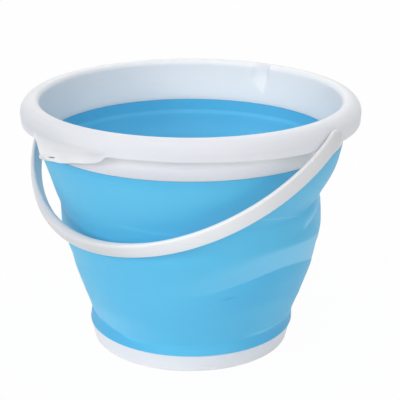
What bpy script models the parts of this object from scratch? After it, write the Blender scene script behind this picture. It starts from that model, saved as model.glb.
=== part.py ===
# Collapsible camp bucket: a rigid collar and base joined by a soft wall that folds in three webs,
# with a strap bail. The origin is on the floor at the base's centre and +Z is up. The bail's pivots
# lie along X, and the bail hangs down towards -Y.

import math

import bmesh
import bpy
from mathutils import Matrix, Vector

MM = 0.001

# Overall
RING_STEPS = 64
SEAM_GAP = 0.3 * MM
OVERRUN = 3.0 * MM
AXIS_MERGE = 0.05 * MM

# Collar: a turned lip, rolled over a hollow, with a neck that holds the soft wall
LIP_RADIUS = 160.0 * MM
LIP_ROLL = 12.4 * MM
COLLAR_HEIGHT = 39.6 * MM
COLLAR_WALL = 2.5 * MM
NECK_STEP = 3.1 * MM
NECK_FOOT_STEP = 3.0 * MM
SKIRT_DROP = 8.2 * MM
SKIRT_WALL = 2.3 * MM
SKIRT_DRAFT = 0.5 * MM

# Tongue under the neck, moulded into the soft wall's top
TONGUE_DEPTH = 7.0 * MM
TONGUE_WALL = 2.0 * MM
TONGUE_CLEARANCE = 0.35 * MM

# Pouring groove inside the collar
SPOUT_ANGLE = 98.0
SPOUT_DEPTH = 5.5 * MM
SPOUT_HALF_WIDTH = 13.0 * MM
SPOUT_HEIGHT = 29.0 * MM
SPOUT_DIP = 2.4 * MM
SPOUT_STEPS = 12

# Hanging tab at the collar's foot, with the skirt drawn down to it
TAB_ANGLE = 251.0
TAB_REACH = 13.0 * MM
TAB_HALF_WIDTH = 28.0 * MM
TAB_THICKNESS = 2.8 * MM
TAB_STEPS = 14
HANG_HOLE_RADIUS = 3.2 * MM
HANG_HOLE_OUT = 4.4 * MM
DRAWN_SKIRT_OFF_NECK = 0.4 * MM
DRAWN_SKIRT_OVER_TAB = 3.4 * MM
DRAWN_LONG_SIDE = 34.0
DRAWN_SHORT_SIDE = 13.0
DRAWN_FLAT = 5.0

# Soft wall: bands that keep their shape, and thinner webs that fold between them. Each one's height,
# and how far its outer side steps in from its top to its bottom
BAND_WALL = 2.6 * MM
WEB_WALL = 1.4 * MM
BAND_CHAMFER = 0.7 * MM
UPPER_BAND_HEIGHT = 25.0 * MM
UPPER_BAND_STEP = 5.9 * MM
UPPER_BAND_BULGE = 0.9 * MM
UPPER_WEB_HEIGHT = 28.0 * MM
UPPER_WEB_STEP = 12.6 * MM
MIDDLE_BAND_HEIGHT = 32.0 * MM
MIDDLE_WEB_HEIGHT = 20.0 * MM
MIDDLE_WEB_STEP = 6.2 * MM
LOWER_BAND_HEIGHT = 26.0 * MM
LOWER_BAND_STEP = 6.6 * MM
LOWER_WEB_HEIGHT = 38.0 * MM
LOWER_WEB_STEP = 13.0 * MM
FOOT_BAND_HEIGHT = 17.6 * MM
CUFF_DEPTH = 11.0 * MM

# Base
BASE_HEIGHT = 16.4 * MM
BASE_STEP = 1.0 * MM
BASE_TAPER = 3.2 * MM
BASE_FOOT_WIDTH = 11.0 * MM
BASE_FOOT_ROUND = 1.4 * MM
BASE_RECESS = 3.0 * MM
BASE_FLOOR = 2.6 * MM
BASE_TONGUE_HEIGHT = 10.0 * MM
BASE_TONGUE_WALL = 2.4 * MM

# Bail: a strap on a superellipse, with a snap peg at each end
BAIL_CLEARANCE = 0.6 * MM
BAIL_THICKNESS = 4.0 * MM
BAIL_WIDTH = 18.0 * MM
BAIL_END_WIDTH = 15.0 * MM
BAIL_EDGE = 1.3 * MM
BAIL_SLACK = 5.9 * MM
BAIL_POWER = 1.93
BAIL_HANG = 35.5
BAIL_STEPS = 40
BAIL_END_STEPS = 4
PIVOT_UNDER_LIP = 1.7 * MM
PEG_RADIUS = 3.6 * MM
PEG_CLEARANCE = 0.35 * MM
PEG_HEAD_RADIUS = 4.9 * MM
PEG_HEAD_LENGTH = 2.6 * MM
PEG_HEAD_GAP = 0.9 * MM
PEG_SLIT = 1.2 * MM
PEG_STEPS = 24

PLASTIC = ("white_plastic", (0.83, 0.84, 0.88, 1.0), 0.32)
RUBBER = ("blue_rubber", (0.115, 0.5, 0.83, 1.0), 0.5)

# Heights that follow, from the floor up
FOOT_BAND_BOTTOM = BASE_HEIGHT + SEAM_GAP
FOOT_BAND_TOP = BASE_HEIGHT + FOOT_BAND_HEIGHT
LOWER_BAND_BOTTOM = FOOT_BAND_TOP + LOWER_WEB_HEIGHT
LOWER_BAND_TOP = LOWER_BAND_BOTTOM + LOWER_BAND_HEIGHT
MIDDLE_BAND_BOTTOM = LOWER_BAND_TOP + MIDDLE_WEB_HEIGHT
MIDDLE_BAND_TOP = MIDDLE_BAND_BOTTOM + MIDDLE_BAND_HEIGHT
UPPER_BAND_BOTTOM = MIDDLE_BAND_TOP + UPPER_WEB_HEIGHT
COLLAR_FOOT = UPPER_BAND_BOTTOM + UPPER_BAND_HEIGHT
HEIGHT = COLLAR_FOOT + COLLAR_HEIGHT
LIP_CENTRE = HEIGHT - LIP_ROLL
PIVOT_HEIGHT = LIP_CENTRE - PIVOT_UNDER_LIP

# Radii that follow, from the lip in
CROWN_RADIUS = LIP_RADIUS - LIP_ROLL
NECK_RADIUS = CROWN_RADIUS - NECK_STEP
MOUTH_RADIUS = NECK_RADIUS - COLLAR_WALL
NECK_FOOT_INNER_RADIUS = MOUTH_RADIUS - NECK_FOOT_STEP
UPPER_BAND_BOTTOM_RADIUS = NECK_RADIUS - UPPER_BAND_STEP
MIDDLE_BAND_RADIUS = UPPER_BAND_BOTTOM_RADIUS - UPPER_WEB_STEP
LOWER_BAND_TOP_RADIUS = MIDDLE_BAND_RADIUS - MIDDLE_WEB_STEP
LOWER_BAND_BOTTOM_RADIUS = LOWER_BAND_TOP_RADIUS - LOWER_BAND_STEP
FOOT_BAND_RADIUS = LOWER_BAND_BOTTOM_RADIUS - LOWER_WEB_STEP
BASE_RADIUS = FOOT_BAND_RADIUS - BASE_STEP
BASE_FOOT_RADIUS = BASE_RADIUS - BASE_TAPER
BAIL_RADIUS = LIP_RADIUS + BAIL_CLEARANCE + BAIL_THICKNESS / 2
BAIL_DROP = BAIL_RADIUS + BAIL_SLACK

# Other values that follow
SKIRT_FOOT = LIP_CENTRE - SKIRT_DROP
TAB_TOP = COLLAR_FOOT + TAB_THICKNESS
TONGUE_RADIUS = (NECK_RADIUS + NECK_FOOT_INNER_RADIUS + TONGUE_WALL) / 2
BASE_TONGUE_RADIUS = FOOT_BAND_RADIUS - BAND_WALL - SEAM_GAP


def clear_scene():
    for thing in list(bpy.data.objects):
        bpy.data.objects.remove(thing, do_unlink=True)


def new_collection(name, hidden=False):
    made = bpy.data.collections.new(name)
    bpy.context.scene.collection.children.link(made)
    made.hide_render = hidden
    return made


def new_material(name, colour, roughness):
    made = bpy.data.materials.new(name)
    made.use_nodes = True
    shader = made.node_tree.nodes["Principled BSDF"]
    shader.inputs["Base Color"].default_value = colour
    shader.inputs["Roughness"].default_value = roughness
    shader.inputs["Metallic"].default_value = 0.0
    made.diffuse_color = colour
    return made


def add_mesh(name, points, faces, edges=()):
    mesh = bpy.data.meshes.new(name)
    mesh.from_pydata([tuple(p) for p in points], list(edges), list(faces))
    mesh.update()
    return bpy.data.objects.new(name, mesh)


def add_part(name, finish, shape):
    shape.name = name
    shape.data.materials.append(new_material(name + "_" + finish[0], finish[1], finish[2]))
    parts.objects.link(shape)
    return shape


def add_cutter(shape):
    cutters.objects.link(shape)
    shape.hide_render = True
    shape.display_type = "WIRE"
    return shape


def smooth(shape, angle=35.0):
    shape.data.shade_smooth()
    shape.data.set_sharp_from_angle(angle=math.radians(angle))


# Turns a profile of (radius, height) points, running down its outer side, about Z
def turned(name, profile, closed, steps=RING_STEPS):
    points = [(radius, 0.0, height) for radius, height in profile]
    edges = [(i, i + 1) for i in range(len(points) - 1)]
    if closed:
        edges.append((len(points) - 1, 0))
    shape = add_mesh(name, points, [], edges)
    screw = shape.modifiers.new("Turn", "SCREW")
    screw.axis = "Z"
    screw.steps = steps
    screw.render_steps = steps
    screw.use_merge_vertices = True
    screw.merge_threshold = AXIS_MERGE
    screw.use_smooth_shade = True
    return shape


# Joins rings of points, each ring a closed section, into one skin; open ends get caps
def lofted(name, rings, closed):
    count = len(rings[0])
    points = [p for ring in rings for p in ring]
    spans = len(rings) if closed else len(rings) - 1
    faces = []
    for i in range(spans):
        here, there = i * count, (i + 1) % len(rings) * count
        for j in range(count):
            k = (j + 1) % count
            faces.append((here + j, here + k, there + k, there + j))
    if not closed:
        faces.append(tuple(range(count)))
        faces.append(tuple(reversed(range(len(points) - count, len(points)))))
    shape = add_mesh(name, points, faces)
    skin = bmesh.new()
    skin.from_mesh(shape.data)
    bmesh.ops.recalc_face_normals(skin, faces=skin.faces)
    skin.to_mesh(shape.data)
    skin.free()
    return shape


def cylinder(name, radius, length, place, along, steps=PEG_STEPS):
    rod = bmesh.new()
    bmesh.ops.create_cone(
        rod, cap_ends=True, segments=steps, radius1=radius, radius2=radius, depth=length
    )
    mesh = bpy.data.meshes.new(name)
    rod.to_mesh(mesh)
    rod.free()
    shape = bpy.data.objects.new(name, mesh)
    shape.matrix_world = Matrix.Translation(place) @ along.to_track_quat("Z", "Y").to_matrix().to_4x4()
    return shape


def boolean(shape, other, operation):
    step = shape.modifiers.new(operation.title() + " " + other.name, "BOOLEAN")
    step.operation = operation
    step.solver = "EXACT"
    step.object = other


def arc(centre, radius, start, end, count):
    turns = [math.radians(start + (end - start) * i / count) for i in range(count + 1)]
    return [
        (centre[0] + radius * math.cos(t), centre[1] + radius * math.sin(t)) for t in turns
    ]


def mix(a, b, share):
    return a + (b - a) * share


def mix_points(first, second, share):
    return [(mix(a[0], b[0], share), mix(a[1], b[1], share)) for a, b in zip(first, second)]


def clamp(value):
    return min(max(value, 0.0), 1.0)


# Signed angle in degrees from the tab's or spout's own direction
def turn_from(angle, middle):
    return (angle - middle + 180.0) % 360.0 - 180.0


# How far the skirt is drawn down to the tab at this angle, 0 to 1
def drawn_share(angle):
    turn = turn_from(angle, TAB_ANGLE)
    reach = DRAWN_LONG_SIDE if turn > 0 else DRAWN_SHORT_SIDE
    fade = clamp((reach - abs(turn)) / (reach - DRAWN_FLAT))
    return math.sin(math.pi / 2 * fade)


# Outer side of the skirt from the roll's side to its foot
def skirt_side(angle):
    foot_radius = LIP_RADIUS - SKIRT_DRAFT
    plain = [
        (mix(LIP_RADIUS, foot_radius, s), mix(LIP_CENTRE, SKIRT_FOOT, s)) for s in (1 / 3, 2 / 3, 1)
    ]
    low = TAB_TOP + DRAWN_SKIRT_OVER_TAB
    near = NECK_RADIUS + DRAWN_SKIRT_OFF_NECK + SKIRT_WALL
    shares = ((0.27, 0.37), (0.74, 0.73), (1.0, 1.0))
    drawn = [(mix(LIP_RADIUS, near, s), mix(LIP_CENTRE, low, t)) for s, t in shares]
    return mix_points(plain, drawn, drawn_share(angle))


# Pushes the neck and the crown outwards in a V that widens to the lip
def poured(point, angle):
    radius, height = point
    rise = clamp((height - HEIGHT + SPOUT_HEIGHT) / SPOUT_HEIGHT)
    beside = abs(math.radians(turn_from(angle, SPOUT_ANGLE))) * radius
    if rise == 0 or radius >= LIP_RADIUS:
        return point
    depth = clamp(1 - beside / (SPOUT_HALF_WIDTH * rise))
    inside = clamp((LIP_RADIUS - radius) / LIP_ROLL)
    crown = clamp((height - LIP_CENTRE) / LIP_ROLL)
    return (
        radius + SPOUT_DEPTH * rise * depth * inside,
        height - SPOUT_DIP * depth * inside * crown,
    )


def collar_section(angle):
    outer = arc((CROWN_RADIUS, LIP_CENTRE), LIP_ROLL, 90, 0, 5)
    side = skirt_side(angle)
    inner_side = [(radius - SKIRT_WALL, height) for radius, height in reversed(side)]
    hollow = arc((CROWN_RADIUS, LIP_CENTRE), LIP_ROLL - COLLAR_WALL, 10, 90, 3)
    turn = CROWN_RADIUS - NECK_RADIUS
    fillet = arc((CROWN_RADIUS, HEIGHT - COLLAR_WALL - turn), turn, 120, 180, 2)
    tongue_inner = TONGUE_RADIUS - TONGUE_WALL
    foot = [
        (NECK_RADIUS, mix(COLLAR_FOOT, HEIGHT, 0.5)),
        (NECK_RADIUS, COLLAR_FOOT),
        (TONGUE_RADIUS, COLLAR_FOOT),
        (TONGUE_RADIUS, COLLAR_FOOT - TONGUE_DEPTH),
        (tongue_inner, COLLAR_FOOT - TONGUE_DEPTH),
        (tongue_inner, COLLAR_FOOT),
        (NECK_FOOT_INNER_RADIUS, COLLAR_FOOT),
    ]
    roll = CROWN_RADIUS - MOUTH_RADIUS
    top = HEIGHT - roll
    low = HEIGHT - SPOUT_HEIGHT
    low_share = clamp((low - COLLAR_FOOT) / (top - COLLAR_FOOT))
    wall = [
        (mix(NECK_FOOT_INNER_RADIUS, MOUTH_RADIUS, s), mix(COLLAR_FOOT, top, s))
        for s in (low_share, mix(low_share, 1, 0.5))
    ]
    inner = arc((CROWN_RADIUS, top), roll, 180, 90, 3)[:-1]
    line = outer + side + inner_side + hollow + fillet + foot + wall + inner
    return [poured(point, angle) for point in line]


def collar_angles():
    spout_span = math.degrees(SPOUT_HALF_WIDTH / CROWN_RADIUS)
    angles = {round(360 * i / RING_STEPS, 3) for i in range(RING_STEPS)}
    near_spout = {
        round(SPOUT_ANGLE + spout_span * (2 * i / SPOUT_STEPS - 1), 3) for i in range(SPOUT_STEPS + 1)
    }
    span = DRAWN_LONG_SIDE + DRAWN_SHORT_SIDE
    near_tab = {
        round(TAB_ANGLE - DRAWN_SHORT_SIDE + span * i / TAB_STEPS, 3) for i in range(TAB_STEPS + 1)
    }
    close = 360 / RING_STEPS / 4
    kept = near_spout | near_tab
    for angle in angles:
        if all(abs(turn_from(angle, other)) > close for other in kept):
            kept.add(angle)
    return sorted(angle % 360 for angle in kept)


# Flat tab whose edge is a cosine bell, standing out of the neck
def tab_plate():
    count = 2 * TAB_STEPS
    edge = []
    for i in range(count + 1):
        across = TAB_HALF_WIDTH * (2 * i / count - 1)
        bell = (1 + math.cos(math.pi * across / TAB_HALF_WIDTH)) / 2
        turn = across / NECK_RADIUS
        out = NECK_RADIUS - COLLAR_WALL / 4 + (TAB_REACH + COLLAR_WALL / 4) * bell
        edge.append((out * math.cos(turn), out * math.sin(turn)))
    root = NECK_RADIUS - COLLAR_WALL / 2
    reach = TAB_HALF_WIDTH / NECK_RADIUS
    back = [
        (root * math.cos(reach * s), root * math.sin(reach * s)) for s in (1, 0.5, 0, -0.5, -1)
    ]
    rings = [
        [Vector((x, y, height)) for x, y in edge + back]
        for height in (COLLAR_FOOT + SEAM_GAP, TAB_TOP)
    ]
    plate = lofted("tab_plate", rings, False)
    plate.rotation_euler.z = math.radians(TAB_ANGLE)
    return plate


def around(point, angle):
    turn = math.radians(angle)
    return Vector((point[0] * math.cos(turn), point[0] * math.sin(turn), point[1]))


def make_collar():
    rings = [[around(p, angle) for p in collar_section(angle)] for angle in collar_angles()]
    collar = add_part("collar", PLASTIC, lofted("collar", rings, True))
    boolean(collar, add_cutter(tab_plate()), "UNION")
    hole_radius = NECK_RADIUS + HANG_HOLE_OUT
    hole_place = around((hole_radius, mix(COLLAR_FOOT, TAB_TOP, 0.5)), TAB_ANGLE)
    hole_length = TAB_THICKNESS + 2 * OVERRUN
    hang_hole = cylinder("hang_hole", HANG_HOLE_RADIUS, hole_length, hole_place, Vector((0, 0, 1)))
    boolean(collar, add_cutter(hang_hole), "DIFFERENCE")
    for side in (-1, 1):
        place = Vector((side * (LIP_RADIUS - SKIRT_WALL / 2), 0, PIVOT_HEIGHT))
        bore = cylinder(
            "peg_bore",
            PEG_RADIUS + PEG_CLEARANCE,
            SKIRT_WALL + 2 * OVERRUN,
            place,
            Vector((side, 0, 0)),
        )
        boolean(collar, add_cutter(bore), "DIFFERENCE")
    smooth(collar)
    return collar


# One band or web of the soft wall between two (radius, height) points of its outer side
def wall_profile(top, bottom, wall, chamfer, bulge=0.0):
    middle = ((top[0] + bottom[0]) / 2 + bulge, (top[1] + bottom[1]) / 2)
    outer = [top, middle, bottom]
    if chamfer:
        outer = [
            (top[0] - chamfer, top[1]),
            (top[0], top[1] - chamfer),
            middle,
            (bottom[0], bottom[1] + chamfer),
            (bottom[0] - chamfer, bottom[1]),
        ]
    inner = [
        (bottom[0] - wall, bottom[1]),
        (middle[0] - wall, middle[1]),
        (top[0] - wall, top[1]),
    ]
    return outer + inner


def make_wall():
    half = SEAM_GAP / 2
    bands = {
        "lower_band": (
            (LOWER_BAND_TOP_RADIUS, LOWER_BAND_TOP - half),
            (LOWER_BAND_BOTTOM_RADIUS, LOWER_BAND_BOTTOM + half),
        ),
        "middle_band": (
            (MIDDLE_BAND_RADIUS, MIDDLE_BAND_TOP - half),
            (MIDDLE_BAND_RADIUS, MIDDLE_BAND_BOTTOM + half),
        ),
    }
    webs = {
        "lower_web": (
            (LOWER_BAND_BOTTOM_RADIUS, LOWER_BAND_BOTTOM - half),
            (FOOT_BAND_RADIUS, FOOT_BAND_TOP + half),
        ),
        "middle_web": (
            (MIDDLE_BAND_RADIUS, MIDDLE_BAND_BOTTOM - half),
            (LOWER_BAND_TOP_RADIUS, LOWER_BAND_TOP + half),
        ),
        "upper_web": (
            (UPPER_BAND_BOTTOM_RADIUS, UPPER_BAND_BOTTOM - half),
            (MIDDLE_BAND_RADIUS, MIDDLE_BAND_TOP + half),
        ),
    }
    for name, (top, bottom) in bands.items():
        profile = wall_profile(top, bottom, BAND_WALL, BAND_CHAMFER)
        add_part(name, RUBBER, turned(name, profile, True))
    for name, (top, bottom) in webs.items():
        add_part(name, RUBBER, turned(name, wall_profile(top, bottom, WEB_WALL, 0.0), True))


# Top band of the soft wall, thickened into a cuff with a groove for the collar's tongue
def make_upper_band():
    top = COLLAR_FOOT - SEAM_GAP
    bottom = UPPER_BAND_BOTTOM + SEAM_GAP / 2
    bottom_radius = UPPER_BAND_BOTTOM_RADIUS
    middle = (mix(bottom_radius, NECK_RADIUS, 0.5) + UPPER_BAND_BULGE, mix(bottom, top, 0.5))
    groove_outer = TONGUE_RADIUS + TONGUE_CLEARANCE
    groove_inner = TONGUE_RADIUS - TONGUE_WALL - TONGUE_CLEARANCE
    groove_floor = COLLAR_FOOT - TONGUE_DEPTH - SEAM_GAP
    cuff = top - CUFF_DEPTH
    profile = [
        (groove_outer, top),
        (NECK_RADIUS, top),
        middle,
        (bottom_radius, bottom + BAND_CHAMFER),
        (bottom_radius - BAND_CHAMFER, bottom),
        (bottom_radius - BAND_WALL, bottom),
        (middle[0] - BAND_WALL, mix(bottom, cuff, 0.7)),
        (NECK_FOOT_INNER_RADIUS, cuff),
        (NECK_FOOT_INNER_RADIUS, top),
        (groove_inner, top),
        (groove_inner, groove_floor),
        (groove_outer, groove_floor),
    ]
    add_part("upper_band", RUBBER, turned("upper_band", profile, True))


# Bottom band of the soft wall, moulded round the base's upstand
def make_foot_band():
    top = FOOT_BAND_TOP - SEAM_GAP / 2
    radius = FOOT_BAND_RADIUS
    inner = radius - BAND_WALL
    profile = [
        (radius - BAND_CHAMFER, top),
        (radius + BAND_CHAMFER, top - BAND_CHAMFER),
        (radius, top - 3 * BAND_CHAMFER),
        (radius, FOOT_BAND_BOTTOM + BAND_CHAMFER),
        (radius - BAND_CHAMFER, FOOT_BAND_BOTTOM),
        (inner, FOOT_BAND_BOTTOM),
        (inner, BASE_HEIGHT + BASE_TONGUE_HEIGHT + SEAM_GAP),
        (inner - BASE_TONGUE_WALL - SEAM_GAP, BASE_HEIGHT + BASE_TONGUE_HEIGHT + SEAM_GAP),
        (inner - BASE_TONGUE_WALL / 2, top),
    ]
    add_part("foot_band", RUBBER, turned("foot_band", profile, True))


def make_base():
    inner = BASE_TONGUE_RADIUS - BASE_TONGUE_WALL
    floor = BASE_RECESS + BASE_FLOOR
    tongue_top = BASE_HEIGHT + BASE_TONGUE_HEIGHT
    foot_inner = BASE_FOOT_RADIUS - BASE_FOOT_WIDTH
    corner = arc((BASE_FOOT_RADIUS - BASE_FOOT_ROUND, BASE_FOOT_ROUND), BASE_FOOT_ROUND, 0, -90, 3)
    profile = (
        [
            (0.0, floor),
            (inner - BASE_FLOOR, floor),
            (inner, floor + BASE_FLOOR),
            (inner, tongue_top),
            (BASE_TONGUE_RADIUS, tongue_top),
            (BASE_TONGUE_RADIUS, BASE_HEIGHT),
            (BASE_RADIUS - BASE_FOOT_ROUND / 2, BASE_HEIGHT),
            (BASE_RADIUS, BASE_HEIGHT - BASE_FOOT_ROUND / 2),
        ]
        + corner
        + [
            (foot_inner, 0.0),
            (foot_inner - BASE_RECESS / 2, BASE_RECESS),
            (0.0, BASE_RECESS),
        ]
    )
    add_part("base", PLASTIC, turned("base", profile, False))


# Rounded section of the strap, as (outward, across) offsets from its middle
def strap_section(width):
    half, side = BAIL_THICKNESS / 2, width / 2
    edge = min(BAIL_EDGE, side / 2)
    corners = []
    for outward, across in ((1, 1), (-1, 1), (-1, -1), (1, -1)):
        pair = [
            (outward * half, across * (side - edge)),
            (outward * (half - edge), across * side),
        ]
        corners += pair if outward == across else reversed(pair)
    return corners


# Middle line of the strap: (along X, down the hang, width) from the left end round to the right
def strap_stations():
    half_end = BAIL_END_WIDTH / 2
    ends = []
    for i in range(BAIL_END_STEPS):
        lean = math.pi / 2 * (BAIL_END_STEPS - i) / (BAIL_END_STEPS + 0.5)
        ends.append((-half_end * math.sin(lean), 2 * half_end * math.cos(lean)))
    stations = [(-BAIL_RADIUS, down, width) for down, width in ends]
    for i in range(BAIL_STEPS + 1):
        turn = math.pi * i / BAIL_STEPS
        c, s = math.cos(turn), math.sin(turn)
        across = -math.copysign(abs(c) ** (2 / BAIL_POWER), c) * BAIL_RADIUS
        down = max(s, 0.0) ** (2 / BAIL_POWER) * BAIL_DROP
        stations.append((across, down, mix(BAIL_END_WIDTH, BAIL_WIDTH, max(s, 0.0))))
    stations += [(BAIL_RADIUS, down, width) for down, width in reversed(ends)]
    return stations


def make_bail():
    pivot = Vector((0, 0, PIVOT_HEIGHT))
    hang = math.radians(BAIL_HANG)
    down_way = Vector((0, -math.cos(hang), -math.sin(hang)))
    across_way = Vector((0, -math.sin(hang), math.cos(hang)))
    stations = strap_stations()
    last = len(stations) - 1
    rings = []
    for i, (x, down, width) in enumerate(stations):
        before, after = stations[max(i - 1, 0)], stations[min(i + 1, last)]
        run = Vector((after[0] - before[0], after[1] - before[1])).normalized()
        outward = Vector((-run.y, run.x))
        centre = Vector((x, 0, 0)) + down_way * down
        rings.append(
            [
                centre + Vector((out * outward.x, 0, 0)) + down_way * (out * outward.y)
                + across_way * across
                for out, across in strap_section(width)
            ]
        )
    bail = add_part("bail", PLASTIC, lofted("bail", rings, False))
    bail.location = pivot
    face = BAIL_RADIUS - BAIL_THICKNESS / 2
    head = LIP_RADIUS - SKIRT_WALL - PEG_HEAD_GAP
    reach = head - PEG_HEAD_LENGTH
    for side in (-1, 1):
        profile = [
            (0.0, face + BAIL_THICKNESS / 2),
            (PEG_RADIUS, face + BAIL_THICKNESS / 2),
            (PEG_RADIUS, head),
            (PEG_HEAD_RADIUS, head - PEG_CLEARANCE),
            (PEG_RADIUS, reach),
            (0.0, reach),
        ]
        peg = turned("peg", profile, False, PEG_STEPS)
        peg.matrix_world = Matrix.Translation(pivot) @ Matrix.Rotation(side * math.pi / 2, 4, "Y")
        boolean(bail, add_cutter(peg), "UNION")
        slit_length = head - reach
        slit = bmesh.new()
        bmesh.ops.create_cube(slit, size=1)
        size = Matrix.Diagonal((slit_length + OVERRUN, 2 * PEG_HEAD_RADIUS + OVERRUN, PEG_SLIT, 1))
        place = Vector((side * (mix(head, reach, 0.5) - OVERRUN / 2), 0, 0)) + pivot
        slit.transform(Matrix.Translation(place) @ size)
        mesh = bpy.data.meshes.new("peg_slit")
        slit.to_mesh(mesh)
        slit.free()
        boolean(bail, add_cutter(bpy.data.objects.new("peg_slit", mesh)), "DIFFERENCE")
    smooth(bail)


clear_scene()
parts = new_collection("collapsible_camp_bucket")
cutters = new_collection("bucket_cutters", hidden=True)
make_base()
make_foot_band()
make_wall()
make_upper_band()
make_collar()
make_bail()
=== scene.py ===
import math

import bmesh
import bpy
import numpy as np
from mathutils import Matrix, Vector


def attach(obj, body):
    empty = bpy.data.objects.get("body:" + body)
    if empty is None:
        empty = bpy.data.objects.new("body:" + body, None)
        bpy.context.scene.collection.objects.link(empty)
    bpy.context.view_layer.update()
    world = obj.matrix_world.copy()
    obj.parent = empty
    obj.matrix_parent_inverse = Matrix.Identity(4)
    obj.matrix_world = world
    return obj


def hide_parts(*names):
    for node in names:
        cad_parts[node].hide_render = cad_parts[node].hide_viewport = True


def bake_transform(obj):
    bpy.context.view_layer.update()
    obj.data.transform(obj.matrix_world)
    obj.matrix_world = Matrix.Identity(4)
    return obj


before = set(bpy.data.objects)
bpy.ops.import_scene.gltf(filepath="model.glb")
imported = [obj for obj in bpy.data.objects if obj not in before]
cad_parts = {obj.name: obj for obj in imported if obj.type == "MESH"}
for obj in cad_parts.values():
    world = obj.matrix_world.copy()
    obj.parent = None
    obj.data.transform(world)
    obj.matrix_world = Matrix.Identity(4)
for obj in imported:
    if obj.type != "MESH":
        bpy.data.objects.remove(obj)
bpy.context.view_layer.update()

for name in ("Cube", "Light", "Camera"):
    if name in bpy.data.objects:
        bpy.data.objects.remove(bpy.data.objects[name], do_unlink=True)
print("frame loaded:", ", ".join(sorted(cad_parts)))


# helpers for numbers

def bell(x, width):
    return np.exp(-(np.asarray(x, float) / width) ** 2)


def bump(x, amount, middle, width):
    return amount * bell(x - middle, width)


def ease(x):
    x = np.clip(x, 0.0, 1.0)
    return x * x * (3 - 2 * x)


def ramp(x, start, length):  # eases from 0 to 1, or from 1 to 0 where the length is negative
    return ease((x - start) / length)


def clamp(x):
    return min(max(x, 0.0), 1.0)


def mix(a, b, share):
    return a + (b - a) * share


def mixPoint(a, b, share):
    return (mix(a[0], b[0], share), mix(a[1], b[1], share))


def turnFrom(angle, middle):  # signed degrees, -180 to 180
    return (np.asarray(angle, float) - middle + 180.0) % 360.0 - 180.0


def softCurve(table, at, blur, column=1):
    # runs through the table's points and rounds its corners over the blur length
    places = [row[0] for row in table]
    values = [row[column] for row in table]
    offsets = np.linspace(-2, 2, 9)
    weights = np.exp(-offsets ** 2)
    total = sum(w * np.interp(at + o * blur / 2, places, values) for w, o in zip(weights, offsets))
    return total / weights.sum()


def arcPoints(centre, radius, start, end, count):
    turns = np.radians(np.linspace(start, end, count + 1))
    return [(centre[0] + radius * math.cos(t), centre[1] + radius * math.sin(t)) for t in turns]


def bezier(a, b, c, d, count):
    points = []
    for t in np.linspace(0, 1, count + 1):
        weights = ((1 - t) ** 3, 3 * t * (1 - t) ** 2, 3 * t * t * (1 - t), t ** 3)
        points.append(tuple(sum(w * p[i] for w, p in zip(weights, (a, b, c, d))) for i in (0, 1)))
    return points


# helpers for meshes

def linkObject(name, mesh):
    made = bpy.data.objects.new(name, mesh)
    bpy.context.scene.collection.objects.link(made)
    return made


def meshObject(name, points, faces):
    mesh = bpy.data.meshes.new(name)
    mesh.from_pydata(np.asarray(points).reshape(-1, 3).tolist(), [], faces)
    mesh.update()
    return linkObject(name, mesh)


def solidObject(name, solid):  # takes a bmesh and frees it
    mesh = bpy.data.meshes.new(name)
    solid.to_mesh(mesh)
    solid.free()
    return linkObject(name, mesh)


def loopSkin(name, rings, closed=True):
    # rings of points, each ring a closed outline; open ends get a cap
    rings = np.asarray(rings, float)
    count, around = rings.shape[:2]
    faces = []
    for i in range(count if closed else count - 1):
        here, there = i * around, (i + 1) % count * around
        for j in range(around):
            k = (j + 1) % around
            faces.append((here + j, here + k, there + k, there + j))
    if not closed:
        faces.append(tuple(range(around)))
        faces.append(tuple(reversed(range((count - 1) * around, count * around))))
    shape = meshObject(name, rings, faces)
    joined = bmesh.new()
    joined.from_mesh(shape.data)
    bmesh.ops.remove_doubles(joined, verts=joined.verts, dist=1e-6)
    bmesh.ops.recalc_face_normals(joined, faces=joined.faces)
    joined.to_mesh(shape.data)
    joined.free()
    return shape


def softShade(shape, angle):
    shape.data.shade_smooth()
    shape.data.set_sharp_from_angle(angle=math.radians(angle))
    return shape


def aroundAxis(profile, turn):
    return [(r * math.cos(turn), r * math.sin(turn), z) for r, z in profile]


def spun(name, profile, steps):
    # turns a closed (radius, height) outline about Z; points on the axis close up
    turns = np.linspace(0, 2 * math.pi, steps, endpoint=False)
    return softShade(loopSkin(name, [aroundAxis(profile, turn) for turn in turns]), 32)


def cutOrJoin(shape, other, operation):
    step = shape.modifiers.new(operation.title(), "BOOLEAN")
    step.operation = operation
    step.solver = "EXACT"
    step.object = other
    bpy.context.view_layer.update()
    evaluated = shape.evaluated_get(bpy.context.evaluated_depsgraph_get())
    done = bpy.data.meshes.new_from_object(evaluated)
    shape.modifiers.clear()
    shape.data = done
    bpy.data.objects.remove(other, do_unlink=True)
    return shape


def vertexSpots(piece):
    spots = np.empty(len(piece.data.vertices) * 3, np.float32)
    piece.data.vertices.foreach_get("co", spots)
    return spots.reshape(-1, 3)


def setTone(piece, tone):
    # painted light and shade: -1 to 1 at each vertex, stored as 0 to 1; above the middle the skin is painted
    # paler, below it painted deeper
    attribute = piece.data.attributes.new("paintedLightTone", "FLOAT", "POINT")
    attribute.data.foreach_set("value", (0.5 + 0.5 * np.clip(tone, -1, 1)).astype(np.float32).ravel())


# shader groups that the plastics and the rubber share

mouldLook = {  # noises are scale, detail and roughness
    "fine": (1900, 2, 0.6), "slow": (34, 3, 0.45), "broad": (9, 4, 0.55), "mottle": (0.3, 0.7),
}
rubLook = {
    "turn": (0.3, 0.5, 0.9), "stretch": (26, 26, 420), "lines": (1, 2, 0.6), "patches": (21, 3, 0.5),
    "thin": (0.60, 0.72), "here": (0.50, 0.66),
}


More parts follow.
